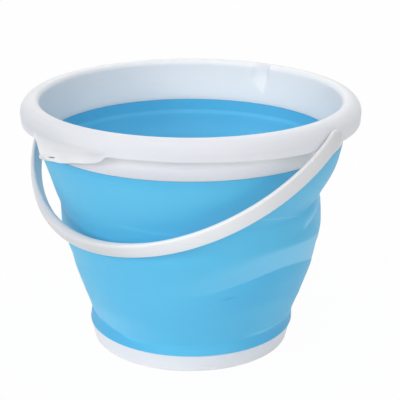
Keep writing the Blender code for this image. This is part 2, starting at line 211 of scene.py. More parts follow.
def shaderGroup(name, inputs, outputs):
    # takes the place on the piece and some numbers, and gives numbers
    tree = bpy.data.node_groups.new(name, "ShaderNodeTree")
    sockets = [("Place", "INPUT", "Vector"), *((label, "INPUT", "Float") for label in inputs)]
    sockets += [(label, "OUTPUT", "Float") for label in outputs]
    for label, way, kind in sockets:
        tree.interface.new_socket(name=label, in_out=way, socket_type="NodeSocket" + kind)
    return tree, tree.nodes.new("NodeGroupInput").outputs, tree.nodes.new("NodeGroupOutput").inputs


def noiseNode(tree, where, scale, detail, rough):
    noise = tree.nodes.new("ShaderNodeTexNoise")
    noise.inputs["Scale"].default_value = scale
    noise.inputs["Detail"].default_value = detail
    noise.inputs["Roughness"].default_value = rough
    tree.links.new(where, noise.inputs["Vector"])
    return noise.outputs["Fac"]


def mathNode(tree, operation, *values, clampIt=False):
    made = tree.nodes.new("ShaderNodeMath")
    made.operation = operation
    made.use_clamp = clampIt
    for socket, value in zip(made.inputs, values):
        if isinstance(value, (int, float)):
            socket.default_value = value
        else:
            tree.links.new(value, socket)
    return made.outputs[0]


def fadeNode(tree, value, low, high):  # 0 at the low value, 1 at the high one
    made = tree.nodes.new("ShaderNodeMapRange")
    made.interpolation_type = "SMOOTHSTEP"
    made.inputs["From Min"].default_value = low
    made.inputs["From Max"].default_value = high
    tree.links.new(value, made.inputs["Value"])
    return made.outputs["Result"]


def makeMouldGrain():
    # fine spark-eroded grain and slow ripples that a mould leaves on a plastic or rubber skin
    tree, given, out = shaderGroup("mouldGrain", ("Grain", "Ripple"), ("Height", "Mottle"))
    fine, slow, broad = (noiseNode(tree, given["Place"], *mouldLook[k]) for k in ("fine", "slow", "broad"))
    grain = mathNode(tree, "MULTIPLY", fine, given["Grain"])
    ripple = mathNode(tree, "MULTIPLY", slow, given["Ripple"])
    tree.links.new(mathNode(tree, "ADD", grain, ripple), out["Height"])
    tree.links.new(fadeNode(tree, broad, *mouldLook["mottle"]), out["Mottle"])
    return tree


def makeHandlingMarks():
    # sparse fine rubs, long across the surface and thin along it
    tree, given, out = shaderGroup("handlingMarks", ("Amount",), ("Mask",))
    stretched = tree.nodes.new("ShaderNodeMapping")
    stretched.inputs["Rotation"].default_value = rubLook["turn"]
    stretched.inputs["Scale"].default_value = rubLook["stretch"]
    tree.links.new(given["Place"], stretched.inputs["Vector"])
    lines = noiseNode(tree, stretched.outputs["Vector"], *rubLook["lines"])
    patches = noiseNode(tree, given["Place"], *rubLook["patches"])
    thin, here = fadeNode(tree, lines, *rubLook["thin"]), fadeNode(tree, patches, *rubLook["here"])
    both = mathNode(tree, "MULTIPLY", thin, here)
    tree.links.new(mathNode(tree, "MULTIPLY", both, given["Amount"], clampIt=True), out["Mask"])
    return tree


mouldGrain = makeMouldGrain()
handlingMarks = makeHandlingMarks()


# plastics and rubber

skin = {"rubRoughness": 0.12, "bumpHeight": 0.0004, "sheenRoughness": 0.5, "lightDepth": 0.005}
# the paler and deeper colours of each finish are painted light and painted shade, laid on by the vertex tone
finishes = {
    "rimWhite": {
        "colour": (0.79, 0.805, 0.85), "shade": (0.775, 0.79, 0.84), "rubbed": (0.73, 0.74, 0.78),
        "paintedLit": (0.92, 0.93, 0.94), "paintedShade": (0.67, 0.69, 0.73),
        "rough": 0.42, "roughSpread": 0.06, "rubs": 0.25, "grain": 0.12, "ripple": 0.7, "bump": 0.12,
        "ior": 1.47, "through": 0.55, "reach": (1.0, 1.0, 1.0),
    },
    "strapWhite": {
        "colour": (0.84, 0.84, 0.855), "shade": (0.81, 0.81, 0.83), "rubbed": (0.72, 0.72, 0.76),
        "paintedLit": (0.92, 0.92, 0.935), "paintedShade": (0.68, 0.68, 0.70),
        "rough": 0.34, "roughSpread": 0.08, "rubs": 0.4, "grain": 0.2, "ripple": 0.5, "bump": 0.14,
        "ior": 1.49, "through": 0.30, "reach": (0.8, 0.8, 0.8),
    },
    "footWhite": {
        "colour": (0.87, 0.88, 0.91), "shade": (0.83, 0.84, 0.88), "rubbed": (0.74, 0.75, 0.78),
        "rough": 0.38, "roughSpread": 0.08, "rubs": 0.6, "grain": 0.3, "ripple": 0.5, "bump": 0.16,
        "ior": 1.49, "through": 0.30, "reach": (0.8, 0.8, 0.8),
    },
    "wallBlue": {
        "colour": (0.105, 0.545, 0.84), "shade": (0.098, 0.522, 0.825), "rubbed": (0.20, 0.56, 0.81),
        "paintedLit": (0.23, 0.66, 0.96), "paintedShade": (0.050, 0.42, 0.77),
        "rough": 0.50, "roughSpread": 0.10, "rubs": 0.22, "grain": 0.5, "ripple": 0.8, "bump": 0.22,
        "ior": 1.45, "sheen": 0.12, "through": 0.0, "reach": (0.3, 0.7, 1.0),
    },
}


def newMaterial(name):
    material = bpy.data.materials.new(name)
    material.use_nodes = True
    return material, material.node_tree, material.node_tree.nodes["Principled BSDF"]


def addGroup(tree, group, place, **values):
    node = tree.nodes.new("ShaderNodeGroup")
    node.node_tree = group
    tree.links.new(place, node.inputs["Place"])
    for label, value in values.items():
        node.inputs[label].default_value = value
    return node.outputs


def colourMix(tree, fac, a, b):
    made = tree.nodes.new("ShaderNodeMix")
    made.data_type = "RGBA"
    tree.links.new(fac, made.inputs["Factor"])
    for socket, value in ((made.inputs["A"], a), (made.inputs["B"], b)):
        if isinstance(value, tuple):
            socket.default_value = (*value, 1)
        else:
            tree.links.new(value, socket)
    return made.outputs["Result"]


def skinMaterial(name, look):
    # one moulded skin: body colour with mottle and rubs, grain in the bump, rubs in the roughness
    material, tree, shader = newMaterial(name)
    place = tree.nodes.new("ShaderNodeTexCoord").outputs["Object"]
    grain = addGroup(tree, mouldGrain, place, Grain=look["grain"], Ripple=look["ripple"])
    mask = addGroup(tree, handlingMarks, place, Amount=look["rubs"])["Mask"]
    body = colourMix(tree, grain["Mottle"], look["colour"], look["shade"])
    if "paintedLit" in look:  # painted light where the vertex tone is above the middle, painted shade where it is below
        tone = tree.nodes.new("ShaderNodeAttribute")
        tone.attribute_name = "paintedLightTone"
        for way, key in ((1, "paintedLit"), (-1, "paintedShade")):
            share = mathNode(tree, "MULTIPLY_ADD", tone.outputs["Fac"], 2 * way, -way, clampIt=True)
            body = colourMix(tree, share, body, look[key])
    tree.links.new(colourMix(tree, mask, body, look["rubbed"]), shader.inputs["Base Color"])
    rough = mathNode(tree, "MULTIPLY_ADD", grain["Mottle"], look["roughSpread"], look["rough"])
    rubbed = mathNode(tree, "MULTIPLY", mask, skin["rubRoughness"])
    tree.links.new(mathNode(tree, "ADD", rough, rubbed), shader.inputs["Roughness"])
    relief = tree.nodes.new("ShaderNodeBump")
    relief.inputs["Strength"].default_value = look["bump"]
    relief.inputs["Distance"].default_value = skin["bumpHeight"]
    tree.links.new(grain["Height"], relief.inputs["Height"])
    tree.links.new(relief.outputs["Normal"], shader.inputs["Normal"])
    shader.inputs["IOR"].default_value = look["ior"]
    shader.inputs["Sheen Weight"].default_value = look.get("sheen", 0.0)
    shader.inputs["Sheen Roughness"].default_value = skin["sheenRoughness"]
    shader.inputs["Subsurface Weight"].default_value = look["through"]
    shader.inputs["Subsurface Radius"].default_value = look["reach"]
    shader.inputs["Subsurface Scale"].default_value = skin["lightDepth"]
    return material


skins = {name: skinMaterial(name, look) for name, look in finishes.items()}
print("materials made:", ", ".join(skins))


def finishPiece(piece, skinName, stands, body=None):
    piece.data.materials.clear()
    piece.data.materials.append(skins[skinName])
    if body:
        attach(piece, body)
    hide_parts(*stands)


# soft wall; its turns are in degrees from the front, positive to the right

bandTop = (  # turn, height and softness of the lower band's upper border
    (-20, .083, .006), (6, .0865, .004), (12, .09, .003), (18, .0932, .0018), (25, .0965, .0014),
    (33, .1, .0012), (42, .1022, .0012), (52, .1002, .0012), (66, .0935, .0012), (80, .0845, .0012),
    (100, .08, .003),
)
wall = {
    "front": 310, "around": 400, "foot": 0.0177, "top": 0.20295, "innerTop": 0.2010, "cuffRow": 0.196,
    "cuts": (0.085, 0.134), "rowHeight": 0.0013,
    "closeRows": ((0.0260, 0.0318, 0.0005), (0.0850, 0.0996, 0.0007)),  # from, to and step at sharp borders
    "innerRows": ((0.0278, 0.178, 62), (0.180, 0.186, 4), (0.1865, 0.1905, 9)),
    # name, nodes that it stands for, bodies that it joins, heights between which it goes over to the upper
    "pieces": (
        ("foldingWallFoot", ("foot_band", "lower_web", "lower_band"), ("base_unit", "lower_ring"),
         (0.034, 0.072)),
        ("foldingWallMiddle", ("lower_band", "middle_web", "middle_band"), ("lower_ring", "middle_ring"),
         (0.098, 0.118)),
        ("foldingWallTop", ("middle_band", "upper_web", "upper_band"), ("middle_ring", "rim_unit"),
         (0.150, 0.178)),
    ),
    # height, then the outer radius on the left side and on the right side
    "outline": (
        (.0165, .0999, .1005), (.02, .0993, .1005), (.025, .0984, .1002), (.0285, .098, .1008),
        (.032, .0989, .1021), (.036, .0999, .1032), (.044, .1021, .1058), (.052, .1049, .1087),
        (.06, .1074, .1116), (.068, .11, .1144), (.076, .1123, .1172), (.084, .1145, .1198),
        (.092, .1169, .1213), (.1, .1196, .1223), (.108, .1223, .1242), (.116, .1244, .1257),
        (.12, .125, .1261), (.124, .1252, .1261), (.132, .1253, .1259), (.14, .1255, .1253),
        (.144, .1265, .1249), (.148, .128, .1232), (.15, .1287, .1231), (.156, .1307, .1264),
        (.164, .1331, .131), (.172, .1356, .1355), (.18, .1383, .1391), (.188, .1409, .1415),
        (.196, .143, .1433), (.203, .1445, .1445),
    ),
    "outlineBlur": 0.0022,
    # fold lines: path of (turn, height, strength); a valley's depth and its reach above and below; the
    # height of a step below the line and its reach
    "folds": {
        "footTop": {"valley": (0.0010, 0.0070, 0.0012), "step": (0.0006, 0.0080), "path": (
            (-180, .0305, .5), (-120, .03, .7), (-84, .0262, 1), (-70, .0295, 1), (-57, .0315, 1),
            (-43, .028, .8), (-33, .0255, .4), (-16, .027, .1), (0, .029, .1), (22, .031, .3),
            (38, .0315, .7), (52, .0325, 1), (69, .0305, 1), (84, .0275, 1), (130, .03, .7),
            (180, .0305, .5),
        )},
        "lowerWebTop": {"valley": (-0.0007, 0.0070, 0.0100), "path": (
            (-180, .074, .4), (-110, .07, .6), (-80, .08, .7), (-54, .0755, .8), (-42, .0695, .8),
            (-30, .0685, .5), (-12, .07, .1), (16, .066, .2), (22, .072, .5), (34, .07, .7), (48, .066, .7),
            (76, .05, .8), (100, .058, .6), (140, .074, .5), (180, .074, .4),
        )},
        "lowerBandTop": {"valley": (0.0013, 0.0120, 0.0040), "path": (
            (-180, .096, .8), (-130, .1, .9), (-96, .092, .6), (-66, .0905, .25), (-50, .0925, .25),
            (-38, .096, .2), (-16, .083, .1), (6, .0865, .2), (12, .09, .4), (18, .0932, .6),
            (25, .0965, .95), (33, .1, 1), (42, .1022, 1), (52, .1002, 1), (66, .0935, 1), (80, .0845, .8),
            (92, .083, .4), (110, .091, .6), (150, .098, .9), (180, .096, .8),
        )},
        "middleWebTop": {"valley": (-0.0007, 0.0070, 0.0050), "path": (
            (-180, .121, .6), (-120, .118, .6), (-84, .116, .5), (-40, .12, .2), (0, .122, .1),
            (26, .1215, .6), (42, .1225, .9), (52, .1215, 1), (66, .116, .9), (84, .106, .5),
            (110, .115, .6), (180, .121, .6),
        )},
        "middleBandTop": {"valley": (0.0006, 0.0040, 0.0016), "step": (0.0004, 0.0050), "path": (
            (-180, .15, .9), (-130, .148, .9), (-84, .142, .8), (-60, .148, .4), (-18, .154, .5),
            (0, .1525, .3), (14, .1545, .2), (30, .1568, .5), (39, .1528, .9), (53, .1468, 1), (64, .148, 1),
            (76, .147, .7), (92, .145, .6), (130, .15, .9), (180, .15, .9),
        )},
    },
    "foldRound": 0.0005, "stepEdge": 0.0012,
    # short creases: path of (turn, height), then lift, width, painted light along the crease (painted shade
    # where below 0) and the fade of the ends in degrees
    "creases": (
        (((56, .136), (59, .1378), (66, .1433), (75, .1482), (84, .1512)), .0015, .0032, 1.1, 2),
        (((46, .131), (56, .1318), (66, .136), (80, .144)), -.0008, .0045, -.15, 6),
        (((28, .1572), (39, .1532), (53, .1472)), .0002, .0009, .6, 5),
        (((-30, .15), (-20, .149), (-8, .1478), (2, .1472)), .0005, .0014, .2, 8),
        (((14, .0805), (17, .0815), (20, .082)), -.0004, .0009, -.7, 2),
        (((34, .032), (38, .0318), (45, .0316), (52, .0327), (69, .0308), (84, .028)), .0005, .0014, .8, 8),
        (((4, .1745), (14, .17), (24, .1675), (34, .168)), -.0006, .009, 0, 8),
        (((150, .134), (170, .14), (192, .134)), -.0007, .0045, 0, 14),
        (((196, .088), (216, .094), (236, .09)), -.0008, .004, .15, 12),
        (((118, .062), (136, .055), (156, .06)), .0007, .0045, .15, 12),
    ),
    # painted light and shade on the rubber between two lines of (turn, height, softness), and its share as
    # (turn, share): above 0 painted light, such as the floor's reflection on the down-facing band; below 0
    # painted shade
    "tones": (
        {"low": bandTop,
         "high": ((-20, .1, .02), (6, .108, .02), (20, .117, .016), (31, .1225, .009), (42, .1232, .005),
                  (52, .1218, .003), (66, .1185, .002), (80, .1135, .002), (100, .108, .004)),
         "share": ((-20, 0), (0, .08), (12, .28), (25, .55), (40, .75), (90, .9), (120, .3), (150, 0))},
        {"low": ((8, .06, .02), (30, .068, .014), (50, .064, .014), (80, .048, .014)),
         "high": bandTop,
         "share": ((6, 0), (18, -.22), (35, -.35), (60, -.25), (90, -.1), (110, 0))},
        {"low": ((-90, .0262, .0012), (-70, .0295, .0012), (-57, .0315, .0012), (-43, .028, .0012),
                 (-33, .0255, .002), (-16, .027, .004)),
         "high": ((-90, .046, .02), (-57, .05, .02), (-16, .046, .02)),
         "share": ((-120, 0), (-90, .35), (-45, .4), (-28, .15), (-12, 0))},
        {"low": ((-90, 0, .001), (90, 0, .001)),
         "high": ((-90, .0262, .0012), (-70, .0295, .0012), (-57, .0315, .0012), (-43, .028, .0012),
                  (-33, .0255, .003), (-16, .027, .006), (20, .0305, .006), (38, .0312, .002),
                  (52, .0322, .0012), (69, .0302, .0012), (84, .0272, .0012)),
         "share": ((-120, 0), (-90, -.5), (-50, -.6), (-30, -.35), (-14, 0), (20, 0), (38, -.35),
                   (55, -.6), (90, -.6), (120, 0))},
        {"low": ((40, .133, .012), (60, .133, .01), (90, .13, .01)),
         "high": ((56, .1355, .004), (66, .143, .004), (75, .148, .004), (90, .152, .004)),
         "share": ((56, 0), (64, .35), (90, .45), (110, 0))},
    ),
    "paintedTopShade": (-0.30, 0.0075),  # painted shade on the wall's top, under the collar, and its width
    "held": (0.005, 0.010),  # over these lengths the base and the collar hold the ends round
    # slow waves at the back: height, count round, count by height and start, and where they begin
    "waves": ((0.0004, 2, 40, 0.7), (0.0002, 5, -65, 0)), "wavesFrom": (36, 90),
    "thickness": (
        (.0165, .0026), (.033, .0026), (.036, .0017), (.07, .0017), (.073, .0026), (.097, .0026),
        (.099, .0017), (.117, .0017), (.12, .0026), (.149, .0026), (.152, .0018), (.165, .0019),
        (.188, .0026),
    ),
    "thicknessBlur": 0.002,
    # inner side under the collar, where the rubber is thick round the collar's tongue
    "cuff": ((.16, .1318), (.18, .1363), (.1858, .1373), (.1892, .1386), (.191, .139), (.203, .139)),
    "cuffBlur": 0.0009, "cuffFrom": (0.163, 0.020),
    # outer radius, inner radius and height of the groove for the tongue and of the step on the upstand
    "groove": (0.1431, 0.1404, 0.1957),
    "upstand": (0.0976, 0.09495, 0.0267),
}


def aroundPath(turn, path, column):
    # smooth closed curve through the path's points, which start and end at the back
    turns = np.array([spot[0] for spot in path], float)
    values = np.array([spot[column] for spot in path], float)
    return sum(w * np.interp((turn + o + 180) % 360 - 180, turns, values)
               for o, w in ((-5, .1), (-2.5, .25), (0, .3), (2.5, .25), (5, .1)))


def foldShape(fold, away, strength):
    # offset of one fold at a distance above (positive) or below its line
    depth, above, below = fold["valley"]
    near = np.sqrt(away ** 2 + wall["foldRound"] ** 2)
    lift = -depth * np.where(away > 0, np.exp(-near / above), np.exp(-near / below))
    if "step" in fold:
        height, reach = fold["step"]
        lift = lift + height * ease(0.5 - away / wall["stepEdge"]) * np.exp(-np.clip(-away, 0, None) / reach)
    return lift * strength


def creaseShape(path, width, fade, turn, height):
    # 1 on the crease's line, less beside it and past its ends
    bends = np.array([spot[0] for spot in path], float)
    at = turnFrom(turn, bends.mean()) + bends.mean()
    line = np.interp(at, bends, [spot[1] for spot in path])
    ends = ramp(at, bends[0] - fade, 2 * fade) * ramp(at, bends[-1] + fade, -2 * fade)
    return ends * bell(height - line, width)


def toneBetween(tone, turn, height):
    low, lowSoft = (aroundPath(turn, tone["low"], k) for k in (1, 2))
    high, highSoft = (aroundPath(turn, tone["high"], k) for k in (1, 2))
    inside = ease(0.5 + (height - low) / lowSoft) * ease(0.5 + (high - height) / highSoft)
    return aroundPath(turn, tone["share"], 1) * inside


def wallRadius(turns, rows):
    # outer radius of the wall, and the painted light and shade on its rubber
    turn = turnFrom(turns, wall["front"])[:, None] * np.ones(len(rows))
    height = np.asarray(rows)[None, :] * np.ones((len(turns), 1))
    left, right = (softCurve(wall["outline"], height, wall["outlineBlur"], k) for k in (1, 2))
    plain = mix(left, right, (1 + np.sin(np.radians(turn))) / 2)
    lift = np.zeros_like(height)
    # painted shade under the collar
    shade, reach = wall["paintedTopShade"]
    pale = bump(height, shade, wall["top"], reach)
    for fold in wall["folds"].values():
        away = height - aroundPath(turn, fold["path"], 1)
        lift += foldShape(fold, away, aroundPath(turn, fold["path"], 2))
    # painted light and painted shade in bands on the rubber
    for tone in wall["tones"]:
        pale += toneBetween(tone, turn, height)
    for path, raised, width, paintedCreaseLight, fade in wall["creases"]:
        crease = creaseShape(path, width, fade, turn, height)
        lift += raised * crease
        # painted highlight along the crease where the value is above 0, painted shade where below
        pale += paintedCreaseLight * crease
    slow = sum(high * np.sin(count * np.radians(turn) + rise * height + start)
               for high, count, rise, start in wall["waves"])
    below, above = wall["held"]
    held = ramp(height, wall["foot"], below) * ramp(height, wall["top"], -above)
    return plain + held * (lift + slow * ramp(np.abs(turn), *wall["wavesFrom"])), pale


def wallGrid(rows, inner=False):
    turns = np.linspace(0, 360, wall["around"], endpoint=False)
    angle, height = np.meshgrid(turns, rows, indexing="ij")
    radius, pale = wallRadius(turns, rows)
    if inner:
        radius = radius - softCurve(wall["thickness"], height, wall["thicknessBlur"])
        cuff = softCurve(wall["cuff"], height, wall["cuffBlur"])
        radius = mix(radius, cuff, ramp(height, *wall["cuffFrom"]))
    spot = np.radians(angle)
    return np.stack([radius * np.cos(spot), radius * np.sin(spot), height], -1), pale


def gridNormals(grid):
    around = np.roll(grid, -1, 0) - np.roll(grid, 1, 0)
    normal = np.cross(around, np.gradient(grid, axis=1))
    return normal / np.linalg.norm(normal, axis=2, keepdims=True)


def ringAt(radius, height):
    spot = np.radians(np.linspace(0, 360, wall["around"], endpoint=False))
    return np.stack([radius * np.cos(spot), radius * np.sin(spot), np.full_like(spot, height)], -1)[:, None]


def wallPiece(name, outer, outerNormal, inner, innerNormal, pale, hasFoot, hasTop):
    # one closed shell: outer side up, over the top, inner side down, and round the foot
    topRings, footRings = [], []
    if hasTop:
        grooveOut, grooveIn, grooveFloor = wall["groove"]
        topRings = [ringAt(grooveOut, wall["top"]), ringAt(grooveOut, grooveFloor),
                    ringAt(grooveIn, grooveFloor), ringAt(grooveIn, wall["innerTop"])]
    if hasFoot:
        stepOut, stepIn, stepHeight = wall["upstand"]
        footRings = [ringAt(stepIn, stepHeight), ringAt(stepOut, stepHeight), ringAt(stepOut, wall["foot"])]
    points = np.concatenate([outer, *topRings, inner[:, ::-1], *footRings], 1)
    around, across = points.shape[:2]
    outerCount, innerStart = outer.shape[1], outer.shape[1] + len(topRings)
    innerEnd = innerStart + inner.shape[1]
    normals = np.zeros_like(points)
    normals[:, :outerCount] = outerNormal
    normals[:, innerStart:innerEnd] = innerNormal[:, ::-1]
    i, j = np.meshgrid(np.arange(around), np.arange(across), indexing="ij")
    i2, j2 = (i + 1) % around, (j + 1) % across
    corners = [i * across + j, i2 * across + j, i2 * across + j2, i * across + j2]
    faces = np.stack(corners, -1).reshape(-1, 4)
    piece = meshObject(name, points, faces.tolist())
    column = j.ravel()
    onSide = (column < outerCount - 1) | ((column >= innerStart) & (column < innerEnd - 1))
    corner = points.reshape(-1, 3)[faces]
    faceNormal = np.cross(corner[:, 2] - corner[:, 0], corner[:, 3] - corner[:, 1])
    faceNormal /= np.maximum(np.linalg.norm(faceNormal, axis=1, keepdims=True), 1e-12)
    smooth = normals.reshape(-1, 3)[faces]
    loopNormals = np.where(onSide[:, None, None], smooth, faceNormal[:, None, :])
    piece.data.shade_smooth()
    piece.data.normals_split_custom_set(loopNormals.reshape(-1, 3).tolist())
    # painted light and shade on the outer side only
    tone = np.zeros((around, across))
    tone[:, :outerCount] = pale
    setTone(piece, tone)
    return piece


def spanOf(rows, low, high):
    # from the row nearest to one height to the row nearest to the other
    return slice(int(np.argmin(abs(rows - low))), int(np.argmin(abs(rows - high))) + 1)


def makeWallPieces():
    count = int(round((wall["top"] - wall["foot"]) / wall["rowHeight"]))
    rows = [np.linspace(wall["foot"], wall["top"], count + 1), wall["cuts"]]
    rows += [np.arange(*span) for span in wall["closeRows"]]
    rows = np.unique(np.concatenate(rows).round(6))
    innerRows = [np.linspace(*span) for span in wall["innerRows"]]
    innerRows += [wall["cuts"], (wall["cuffRow"], wall["innerTop"])]
    innerRows = np.unique(np.concatenate(innerRows).round(6))
    outer, pale = wallGrid(rows)
    inner = wallGrid(innerRows, True)[0]
    outerNormal, innerNormal = gridNormals(outer), -gridNormals(inner)
    edges = (wall["foot"], *wall["cuts"], wall["top"])
    for k, (name, nodes, bodies, (start, end)) in enumerate(wall["pieces"]):
        out, back = spanOf(rows, *edges[k:k + 2]), spanOf(innerRows, *edges[k:k + 2])
        piece = wallPiece(name, outer[:, out], outerNormal[:, out], inner[:, back], innerNormal[:, back],
                          pale[:, out], k == 0, k == len(wall["pieces"]) - 1)
        finishPiece(piece, "wallBlue", nodes)
        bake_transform(piece)


makeWallPieces()
print("soft wall made")


# collar with its pouring groove and hanging tab

collar = {
    "around": 360, "closeSteps": (0.25, 0.5, 0.35),  # degrees at the tab's border, along the skirt, and gap
    "lipRadius": 0.160, "lipRoll": 0.0124, "height": 0.2426, "shell": 0.0025,
    "pivot": 0.2285,  # height of the bail's pegs
    "neck": 0.1445, "mouth": 0.142, "neckInner": 0.139,
    "foot": 0.203, "footEdge": 0.0005, "innerFoot": 0.2010, "innerEdge": 0.0003, "innerStart": 0.003,
    "neckRows": (.2285, .2255, .2225, .2195, .2165, .2135, .2105, .207, .204),
    "tongue": (0.14275, 0.14075, 0.196),  # outer radius, inner radius and foot
    "skirtWall": 0.0023, "skirtRound": 0.8, "draft": 0.0005,
    # height of the skirt's foot by the turn from the front
    "skirtFoot": (
        (-180, .222), (-70, .2222), (-48, .2235), (-32, .2248), (-16, .2254), (2, .2252), (20, .224),
        (38, .2222), (60, .222), (180, .222),
    ),
    "skirtBlur": 6,
    # the skirt is drawn down to the tab: turn from the tab, share, radius and height of its foot, and
    # radius of its waist
    "drawn": (
        (-.9, 0, .158, .22, .1556), (0, 1, .1563, .2054, .1544), (2, 1, .1558, .2054, .154),
        (4, 1, .155, .2058, .1533), (7, 1, .1538, .206, .1525), (9.5, 1, .1524, .206, .152),
        (12, 1, .1516, .207, .152), (15, 1, .152, .209, .1524), (18, 1, .1534, .2112, .1532),
        (23, 1, .1543, .2136, .1545), (27, 1, .1552, .216, .156), (29.5, 1, .1562, .2185, .157),
        (33.5, 0, .159, .2235, .159),
    ),
    "drawnBlurs": (0.3, 1, 1, 1),
    "drawnBend": {"lean": 0.35, "drop": 0.0075, "tuck": 0.0008, "rise": 0.0080},
    # slot through the drawn skirt, with its half sizes through, along and up
    "slot": {"turn": 6.0, "lean": 11, "radius": 0.1530, "height": 0.2084, "half": (0.0045, 0.0050, 0.0007)},
    # the groove has a wide face and a narrow one; it is widest part of the way up, and a share of that wide
    # at the lip
    "spout": {
        "angle": 97.1, "depth": 0.0070, "wideSide": 0.0170, "narrowSide": 0.0055, "height": 0.031,
        "dip": 0.0020, "widest": 0.48, "lipShare": 0.82, "slack": 0.0005,
    },
    "tab": {
        "angle": 251, "reach": 0.0122, "leftHalf": 0.022, "rightHalf": 0.028, "top": 0.2058,
        "under": 0.2033, "edge": 0.0010, "inset": 0.0006, "rootDepth": 0.0012,
        "hole": (0.0017, 0.0034), "holeOut": 0.0061, "holeSpread": 2.2,
        # fillet to the neck: height, distance and width, and the share left out over the hole's width
        "fillet": (0.0036, 0.0026, 0.0026), "filletGap": (0.85, 0, 0.0048),
        "underShares": (0, .12, .3, .5, .7, .85), "topShares": (.85, .7, .6, .5, .4, .3, .2, .12, .05, 0),
    },
    "bore": {"radius": 0.00395, "depth": 0.009, "out": 0.1588},
    # painted light above 0 and painted shade below; pairs are a ramp's start and length, threes a bump's
    # amount, middle and width, and onNeck is the slack and the top of the neck's outside
    "tone": {
        "paintedInnerLight": (0.1486, -0.006), "outside": (0.1500, 0.0030),
        "onNeck": (0.0008, 0.2262), "neckRise": (0.2070, 0.0080),
        "neckLow": -0.1, "neckLowFront": (-0.45, -14, 22),
        "neckLowRight": 1.1, "rightFrom": (24, 14), "rightTo": (165, -50),
        "neckHigh": 1.0, "neckHighFront": (-0.55, -10, 24),
        "roll": -0.28, "rollFront": (-0.32, -10, 26), "rollHeight": (1, 0.2345, 0.0040),
        "rollLeft": (-1.1, -66, 26), "rollLeftHeight": (1, 0.2335, 0.0085),
        "drawn": 0.6, "drawnBelow": (0.2300, -0.006), "drawnFrom": (-2, 2), "drawnTo": (30, -10),
    },
}
lipRadius, rimHeight, pivotHeight = (collar[key] for key in ("lipRadius", "height", "pivot"))


def drawnShare(angle):
    # how far the skirt is drawn down, the radius and height of its foot there, and the radius of its waist
    turn = float(turnFrom(angle, collar["tab"]["angle"]))
    share, near, low, waist = (float(softCurve(collar["drawn"], turn, blur, column))
                               for column, blur in enumerate(collar["drawnBlurs"], 1))
    return float(ease(share)), near, low, waist


def pourGroove(point, angle):
    # presses the collar's inner side and crown out into a V that widens towards the lip
    spout = collar["spout"]
    radius, height = point
    rise = clamp((height - rimHeight + spout["height"]) / spout["height"])
    if rise == 0 or radius >= lipRadius or radius < collar["neckInner"] - spout["slack"]:
        return point
    beside = math.radians(float(turnFrom(angle, spout["angle"]))) * radius
    if rise < spout["widest"]:
        spread = rise / spout["widest"]
    else:
        spread = mix(1, spout["lipShare"], (rise - spout["widest"]) / (1 - spout["widest"]))
    across = abs(beside) / (spout["wideSide" if beside > 0 else "narrowSide"] * spread)
    depth = max(1 - across, 0)
    inside = clamp((lipRadius - radius) / collar["lipRoll"])
    top = clamp((height - rimHeight + collar["lipRoll"]) / collar["lipRoll"])
    return (radius + spout["depth"] * rise * depth * inside, height - spout["dip"] * depth * inside * top)


def skirtSide(angle):
    # outer side of the skirt from the lip's widest place down to its foot
    start = (lipRadius, rimHeight - collar["lipRoll"])
    foot = float(softCurve(collar["skirtFoot"], float(turnFrom(angle, wall["front"])), collar["skirtBlur"]))
    plain = [mixPoint(start, (lipRadius - collar["draft"], foot), t) for t in np.linspace(0, 1, 11)]
    share, near, low, waist = drawnShare(angle)
    bend = collar["drawnBend"]
    shoulder = (mix(lipRadius, waist, bend["lean"]), start[1] - bend["drop"])
    drawn = bezier(start, shoulder, (waist - bend["tuck"], low + bend["rise"]), (near, low), 10)
    return [mixPoint(a, b, share) for a, b in zip(plain, drawn)][1:]


def collarSection(angle):
    c = collar
    crown, centre = lipRadius - c["lipRoll"], rimHeight - c["lipRoll"]
    side = skirtSide(angle)
    half = c["skirtWall"] / 2
    line = arcPoints((crown, centre), c["lipRoll"], 90, 0, 14) + side
    line += [(side[-1][0] - half + half * math.cos(t), side[-1][1] - half * c["skirtRound"] * math.sin(t))
             for t in np.radians((30, 60, 90, 120, 150))]
    line += [(r - c["skirtWall"], z) for r, z in reversed(side)]
    line += arcPoints((crown, centre), c["lipRoll"] - c["shell"], 4, 90, 9)
    bend = crown - c["neck"]
    line += arcPoints((crown, rimHeight - c["shell"] - bend), bend, 110, 180, 5)
    line += [(c["neck"], z) for z in c["neckRows"]]
    tongueOut, tongueIn, tongueFoot = c["tongue"]
    line += [
        (c["neck"] - c["footEdge"] * 0.2, c["foot"] + c["footEdge"] * 0.8),
        (c["neck"] - c["footEdge"], c["foot"]),
        (tongueOut, c["foot"]), (tongueOut, tongueFoot), (tongueIn, tongueFoot), (tongueIn, c["innerFoot"]),
        (c["neckInner"] + c["innerEdge"], c["innerFoot"]),
        (c["neckInner"], c["innerFoot"] + c["innerEdge"]),
    ]
    roll = crown - c["mouth"]
    top, grooveFoot = rimHeight - roll, rimHeight - c["spout"]["height"]
    heights = [*np.linspace(c["foot"] + c["innerStart"], grooveFoot, 4)]
    heights += [*np.linspace(grooveFoot, top, 12)[1:]]
    line += [(mix(c["neckInner"], c["mouth"], (z - c["foot"]) / (top - c["foot"])), z) for z in heights]
    line += arcPoints((crown, top), roll, 180, 90, 8)[1:-1]
    return [pourGroove(point, angle) for point in line]


def collarAngles():
    # even steps, with closer ones at the groove and along the drawn skirt
    spout, tab, drawn = collar["spout"], collar["tab"], collar["drawn"]
    half = math.degrees(spout["wideSide"] / (lipRadius - collar["lipRoll"]))
    border, along, gap = collar["closeSteps"]
    near = np.concatenate([
        spout["angle"] + half * np.linspace(-1.1, 1.1, 61),
        tab["angle"] + np.arange(drawn[0][0] - 2, 2, border),
        tab["angle"] + np.arange(2, drawn[-1][0] + 2, along),
    ])
    plain = np.arange(0, 360, 360 / collar["around"])
    clear = np.abs(turnFrom(plain[:, None], near[None, :])).min(1)
    return np.sort(np.concatenate([near, plain[clear > gap]]) % 360)


